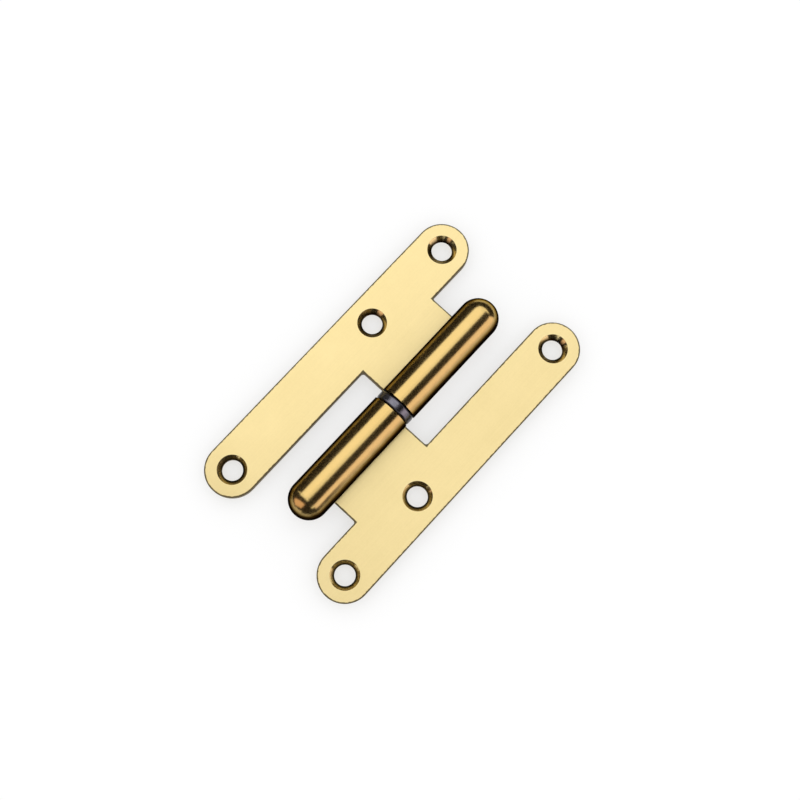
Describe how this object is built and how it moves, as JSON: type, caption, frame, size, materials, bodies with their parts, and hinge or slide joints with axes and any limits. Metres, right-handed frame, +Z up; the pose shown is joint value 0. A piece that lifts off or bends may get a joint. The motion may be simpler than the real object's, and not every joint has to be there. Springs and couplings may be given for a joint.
{
  "type": "pin hinge",
  "caption": "Lift-off pin hinge with long round-ended countersunk leaves, knuckles rolled around a fixed pin, a dark bearing washer between them and domed finials.",
  "frame": {"origin": "on the surface that the barrel rests on, under the middle of the washer", "axes": "+X across the open leaves towards the leaf that holds the pin, +Y along the pin towards the end where the other leaf lifts off, +Z up out of the countersunk faces"},
  "size_m": [0.057, 0.1, 0.0115],
  "materials": {
    "plated_leaf": "brass-plated steel sheet, satin on the flat leaf and polished on the rolled knuckle",
    "polished_finial": "turned and polished brass plating",
    "pin_steel": "bright drawn steel",
    "dark_washer": "blackened steel, semi-gloss"
  },
  "bodies": {
    "pin_half": {"pin_leaf": "plated_leaf", "hinge_pin": "pin_steel", "pin_leaf_finial": "polished_finial"},
    "washer": {"bearing_washer": "dark_washer"},
    "lift_half": {"lift_leaf": "plated_leaf", "lift_leaf_finial": "polished_finial"}
  },
  "joints": [
    {"name": "swing", "type": "hinge", "parent": "pin_half", "child": "washer", "pos_m": [0, 0, 0.00575], "axis": [0, 1, 0], "range_deg": [-140, 180]},
    {"name": "lift_off", "type": "slide", "parent": "washer", "child": "lift_half", "axis": [0, 1, 0], "range_m": [0, 0.026]}
  ]
}
